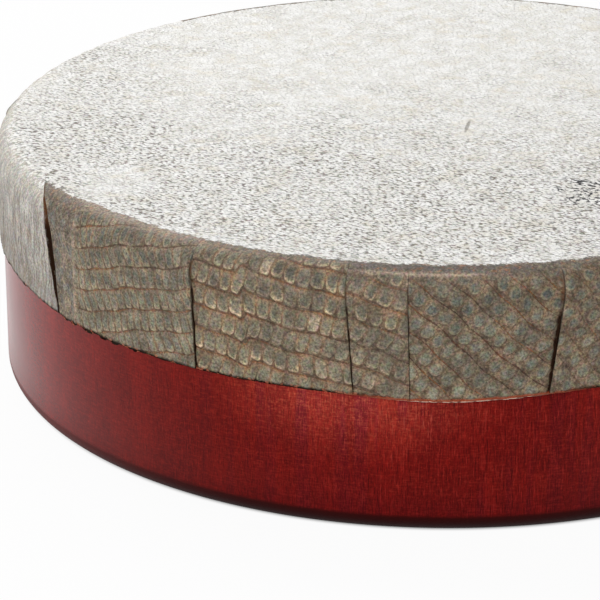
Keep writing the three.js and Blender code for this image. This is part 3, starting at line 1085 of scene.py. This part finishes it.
def place_scales(sheet):
    """Works out where each point lies among its panel's scales, with rows that waver."""
    side, depth, panel = sheet.side, sheet.depth, sheet.panel
    slope = np.radians(sheet.style.slope)
    along = side * np.cos(slope) + depth * np.sin(slope)
    down = depth * np.cos(slope) - side * np.sin(slope)
    fault_panel, fault_azimuth, fault_lean, fault_drop = ROW_FAULT
    fault = np.radians(fault_azimuth - sheet.middle) * SKIN_RADIUS + fault_lean * depth
    down = down - np.where(panel == fault_panel, fault_drop * smooth(0.4, -0.4, side - fault), 0)
    down = down + 0.3 * np.sin(along * 0.27 + panel * 1.7) + 0.14 * np.sin(along * 0.8 + panel * 2.9)
    along = along + 0.2 * np.sin(down * 0.8 + panel * 2.3) + 0.35 * np.sin(down * 0.31 + along * 0.21)
    sheet.cell_across = along / sheet.style.width + panel * 7.0 + 40.0
    sheet.cell_down = down / sheet.style.pitch + panel * 3.3 + 20.0


def raise_relief(sheet):
    """Works out how far each point stands out, how strongly its scale shows, and how pale or dark it is
    painted: a pale band, and painted highlights and shadow along creases and the rim.
    """
    azimuth, depth, style = sheet.azimuth, sheet.depth, sheet.style
    strip_panel, strip_end = PLAIN_STRIP
    past_strip = smooth(strip_end - 0.7, strip_end + 0.7, azimuth)
    contrast = style.contrast * smooth(style.begin - 1.0, style.begin + 3.0, depth)
    contrast = contrast * np.where(sheet.panel == strip_panel, past_strip, 1)
    reach, below, _ = in_scale(sheet.cell_across, sheet.cell_down, style.half_width, style.half_height)
    relief = SCALE_HEIGHT * contrast * np.clip(1 - reach ** 2, 0, 1)
    relief = relief - GROOVE_DEPTH * contrast * smooth(0.38, 0.5, np.abs(below))
    tone = 0
    for crease_azimuth, crease_height, crease_width, crest in CREASES:
        from_crease = np.radians(azimuth - crease_azimuth) * SKIN_RADIUS / crease_width
        crease = np.exp(-from_crease ** 2) * smooth(CREASE_TOP - 6, CREASE_TOP, depth)
        relief = relief + crease_height * crease
        tone = tone + crest * crease
    for line_azimuth, spread, level, half_width, strength in RIM_LINES:
        from_line = ((azimuth - line_azimuth) / spread) ** 4 + ((depth - level) / half_width) ** 2
        tone = tone + strength * np.exp(-from_line)
        relief = relief + RIM_LINE_HEIGHT * strength * np.exp(-from_line)
    strands = ripple(sheet.side, depth * 0.25, 1.9, 31) + 0.8 * ripple(sheet.side, depth * 0.3, 5.0, 32)
    relief = relief + STRAND_HEIGHT * style.streak * strands
    relief = relief + SWELL_HEIGHT * ripple(sheet.wall_x, sheet.wall_y, 6.0, 33)
    relief = relief * smooth(0.3, 2.5, depth) + sheet.lift * sheet.lap_fade
    sheet.contrast, sheet.tone = contrast, tone
    sheet.radius = FLAT_RADIUS + SHOULDER * np.cos(sheet.bend) + relief * np.cos(sheet.bend)
    sheet.height = sheet.wall_height + SHOULDER * np.sin(sheet.bend) + relief * np.sin(sheet.bend)


def shade(sheet):
    """Works out where the face runs over the shoulder, where seams get painted shadow, where the cut edge is
    darkened and where the glue gets a painted highlight.
    """
    soft = sheet.style.streak
    pale_azimuth, pale_spread = PALE_SHOULDER
    by_dart = np.exp(-((sheet.azimuth - pale_azimuth) / pale_spread) ** 2)
    start = 0.2 + np.maximum(2.2 * soft, 1.4 * by_dart) + 0.25 * ripple(sheet.wall_x, sheet.wall_y, 5.0, 34)
    spread = 0.8 + 2.6 * soft
    sheet.pale = 1 - smooth(start - spread, start + spread, sheet.depth)
    # The seams' painted shadow, lighter towards the shoulder
    lighter_above = np.where(sheet.bulge == 0, 0.45, 0.1) * smooth(0.5, 1.0, sheet.climb)
    sheet.dark = sheet.crevice * sheet.lap_fade * (1 - lighter_above)
    # The lowest half millimetre of the skirt takes the cut edge's dark colour, partly painted shade
    sheet.border = smooth(0.5, 0.05, sheet.wall_height - sheet.low_edge)
    # Where the glue bead gets its painted highlight
    sheet.glow = np.exp(-((sheet.edge - GLINT_AZIMUTH) / GLINT_SPREAD) ** 4)


def row_looks(sheet, row):
    """What the material needs to know about the points of one row."""
    style, border = sheet.style, sheet.border[row]
    return {
        "scale_place": np.stack([sheet.cell_across[row], sheet.cell_down[row], sheet.depth[row]], axis=1),
        "scale_form": np.stack([style.half_width, style.half_height, sheet.contrast[row]], axis=1),
        "scale_tone": np.stack([style.rim, style.line, sheet.tone[row]], axis=1),
        "skin_look": np.stack([sheet.pale[row], sheet.dark[row], style.streak], axis=1),
        "edge_look": np.stack([border, LIP_GLINT * border * sheet.glow, 0 * border], axis=1),
    }


def add_face(rings, ring, degrees):
    """Closes the skin above, with half as many columns each time they crowd."""
    distance = FLAT_RADIUS
    while distance > 2 * TOP_PITCH:
        distance -= TOP_PITCH
        crowded = 2 * math.pi * distance / len(degrees) < CROWDED * TOP_PITCH
        if crowded:
            degrees = degrees[::2]
        inner = rings.ring(face_points(degrees, distance), **PLAYING_FACE)
        if crowded:
            rings.narrow(ring, inner)
        else:
            rings.band(ring, inner)
        ring = inner
    rings.close(ring, face_points(np.zeros(1), 0.0), **PLAYING_FACE)


def add_underside(rings, lowest, sheet):
    """Closes the skin below: its cut edge, the bead of glue and the side that is glued down."""
    def hidden_ring(degrees, distance, level, edge_look=INSIDE):
        return rings.ring(around(degrees, distance, level), scale_form=NO_SCALES, edge_look=edge_look)

    edge, glow = sheet.edge, sheet.glow
    none = np.zeros_like(glow)
    lip_look = np.stack([none + 1, LIP_GLINT * glow, none], axis=1)
    bead_look = np.stack([1 - glow, glow, none], axis=1)
    glued = SKIN_RADIUS - SKIN
    cut_level = sheet.low_edge - CUT_SLANT + GLINT_RISE * glow - SCUFF * scuffs(edge)
    stack = [
        lowest,
        hidden_ring(edge, sheet.radius[0] - LIP_INSET, sheet.low_edge - LIP_INSET, lip_look),
        hidden_ring(edge, glued + (SKIN + BEAD) * glow, cut_level, bead_look),
        hidden_ring(edge, glued, cut_level - INNER_DROP, bead_look),
        hidden_ring(sheet.top, glued, SHOULDER_FOOT),
    ]
    for bend in np.linspace(0, math.pi / 2, UNDERSIDE_BENDS + 1)[1:]:
        distance = FLAT_RADIUS + (SHOULDER - SKIN) * math.cos(bend)
        level = SHOULDER_FOOT + (SHOULDER - SKIN) * math.sin(bend)
        stack.append(hidden_ring(sheet.top, distance, level))
    for outer, inner in zip(stack, stack[1:]):
        rings.band(inner, outer)
    ring, degrees, distance = stack[-1], sheet.top, FLAT_RADIUS
    while len(degrees) > FEWEST_COLUMNS:
        degrees = degrees[::2]
        distance *= UNDERSIDE_SHRINK
        inner = hidden_ring(degrees, distance, UNDERSIDE)
        rings.narrow(ring, inner)
        ring = inner
    rings.close(ring, np.array([[0.0, 0.0, UNDERSIDE]]), edge_look=INSIDE)


def build_skin():
    sheet = lay_out()
    place_scales(sheet)
    raise_relief(sheet)
    shade(sheet)
    rings = Rings()
    rows = []
    for row in range(len(sheet.climb)):
        points = around(sheet.azimuth[row], sheet.radius[row], sheet.height[row])
        rows.append(rings.ring(points, **row_looks(sheet, row)))
    for lower, upper in zip(rows, rows[1:]):
        rings.band(lower, upper)
    add_face(rings, rows[-1], sheet.azimuth[-1])
    add_underside(rings, rows[0], sheet)
    looks = {name: np.concatenate(vectors) for name, vectors in rings.looks.items()}
    skin = mesh_object("drumhead_skin", np.concatenate(rings.points), rings.faces, looks)
    dress(skin, "drum", "drum_skin", skin_finish(), "drumhead")


# Pin and jingles
def set_on_pin_axis(obj):
    obj.location = (PIN_AXIS.x * MM, PIN_AXIS.y * MM, 0)


def build_pin():
    head_low, head_high, tip = pin_low.z, pin_low.z + PIN_HEAD, pin_high.z
    corner = PIN_HEAD_RADIUS - PIN_CHAMFER
    profile = [(0, head_low)]
    profile += arc(corner, head_low + PIN_CHAMFER, PIN_CHAMFER, -90, 0, 4)
    profile += arc(corner, head_high - PIN_CHAMFER, PIN_CHAMFER, 0, 90, 4)
    profile += [(PIN_RADIUS, head_high), (PIN_RADIUS, tip - 2 * PIN_CHAMFER)]
    profile += [(PIN_RADIUS - PIN_CHAMFER, tip), (0, tip)]
    pin = turned("jingle_pin_drawn", profile, PIN_SEGMENTS)
    sharpen(pin, METAL_CREASE)
    set_on_pin_axis(pin)
    dress(pin, "drum", "pin_steel", steel_finish(), "jingle_pin")


def jingle_profile(radius, dish):
    """Flat hub, rounded slope and flat brim with a rounded rim, hollow side down, from height 0."""
    half = JINGLE_SHEET / 2
    lower = [(JINGLE_HOLE, dish)]
    for share in np.linspace(0, 1, 13):
        height = dish * (1 + math.cos(math.pi * share)) / 2
        lower.append((JINGLE_HUB + (JINGLE_CUP - JINGLE_HUB) * share, height))
    lower.append((radius - half, 0))
    rim = arc(radius - half, half, half, -90, 90, 8)
    upper = [(x, z + JINGLE_SHEET) for x, z in reversed(lower)]
    return lower + rim[1:-1] + upper


def build_jingles():
    finish = brass_finish()
    for place, node in enumerate(JINGLES):
        low, high = box_mm(node)
        profile = jingle_profile((high.x - low.x) / 2, high.z - low.z - JINGLE_SHEET)
        hollow_up = place % 2 == 0
        if hollow_up:
            profile = [(x, high.z - z) for x, z in profile]
        else:
            profile = [(x, low.z + z) for x, z in profile]
        jingle = turned(node + "_pressed", profile, JINGLE_SEGMENTS)
        sharpen(jingle, METAL_CREASE)
        set_on_pin_axis(jingle)
        dress(jingle, node, "jingle_brass", finish, node)


# Studio
def ray(tree, kind):
    return add_node(tree, "LightPath", output=f"Is {kind} Ray")


def white_to_eye(tree):
    """1 for rays that come from the camera, from reflections or through clear pieces."""
    seen = ray(tree, "Camera").apply("MAXIMUM", ray(tree, "Glossy"))
    return seen.apply("MAXIMUM", ray(tree, "Transmission"))


def clear_of_drum(tree, share):
    """How much of the floor shows as plain white: nothing under the drum, this share beside it."""
    distance = add_node(tree, "TexCoord", output="Object").length()
    mirrored, seen = (SHELL_RADIUS + MIRRORED_SHADOW) * MM, (SHELL_RADIUS + CONTACT_SHADOW) * MM
    inputs = {"Value": ray(tree, "Camera"), "To Min": mirrored, "To Max": seen}
    reach = add_node(tree, "MapRange", inputs, "Result")
    return white_to_eye(tree) * distance.ease((SHELL_RADIUS - BOTTOM_ROUND) * MM, reach, 0.0, share)


def build_floor():
    bpy.ops.mesh.primitive_plane_add(size=FLOOR_SIZE)
    floor = bpy.context.object
    floor.name = "studio_floor"
    material = bpy.data.materials.new("floor_white")
    material.use_nodes = True
    tree = material.node_tree
    tree.nodes.clear()
    grey = add_node(tree, "BsdfDiffuse", {"Color": FLOOR_GREY})
    white = add_node(tree, "Emission", {"Strength": 1.0})
    mixed = add_node(tree, "MixShader", {0: clear_of_drum(tree, FLOOR_WHITE), 1: grey, 2: white})
    output = tree.nodes.new("ShaderNodeOutputMaterial")
    feed(tree, output.inputs[0], mixed)
    floor.data.materials.append(material)


def build_world():
    world = bpy.data.worlds.new("studio")
    bpy.context.scene.world = world
    world.use_nodes = True
    tree = world.node_tree
    background = tree.nodes["Background"]
    inputs = {"Value": white_to_eye(tree), "To Min": ROOM_LIGHT, "To Max": 1.0}
    feed(tree, background.inputs["Color"], (1, 1, 1, 1))
    feed(tree, background.inputs["Strength"], add_node(tree, "MapRange", inputs, "Result"))


def build_softbox(name, place, size, power):
    lamp = bpy.data.lights.new(name, "AREA")
    lamp.shape = "SQUARE"
    lamp.size = size
    lamp.energy = power
    obj = link(name, lamp)
    obj.location = place
    obj.rotation_euler = (Vector(SOFTBOX_AIM) - Vector(place)).to_track_quat("-Z", "Y").to_euler()


def build_camera():
    camera = bpy.data.cameras.new("camera")
    camera.sensor_width = CAMERA_SENSOR
    camera.lens = CAMERA_LENS
    camera.clip_start = CAMERA_NEAREST
    obj = link("camera", camera)
    obj.location = CAMERA_PLACE
    obj.rotation_euler = (math.radians(CAMERA_TILT), 0, 0)
    bpy.context.scene.camera = obj


build_camera()
build_floor()
build_world()
for softbox in SOFTBOXES:
    build_softbox(*softbox)
build_shell()
build_skin()
build_pin()
build_jingles()
bpy.context.scene.view_settings.view_transform = "Standard"
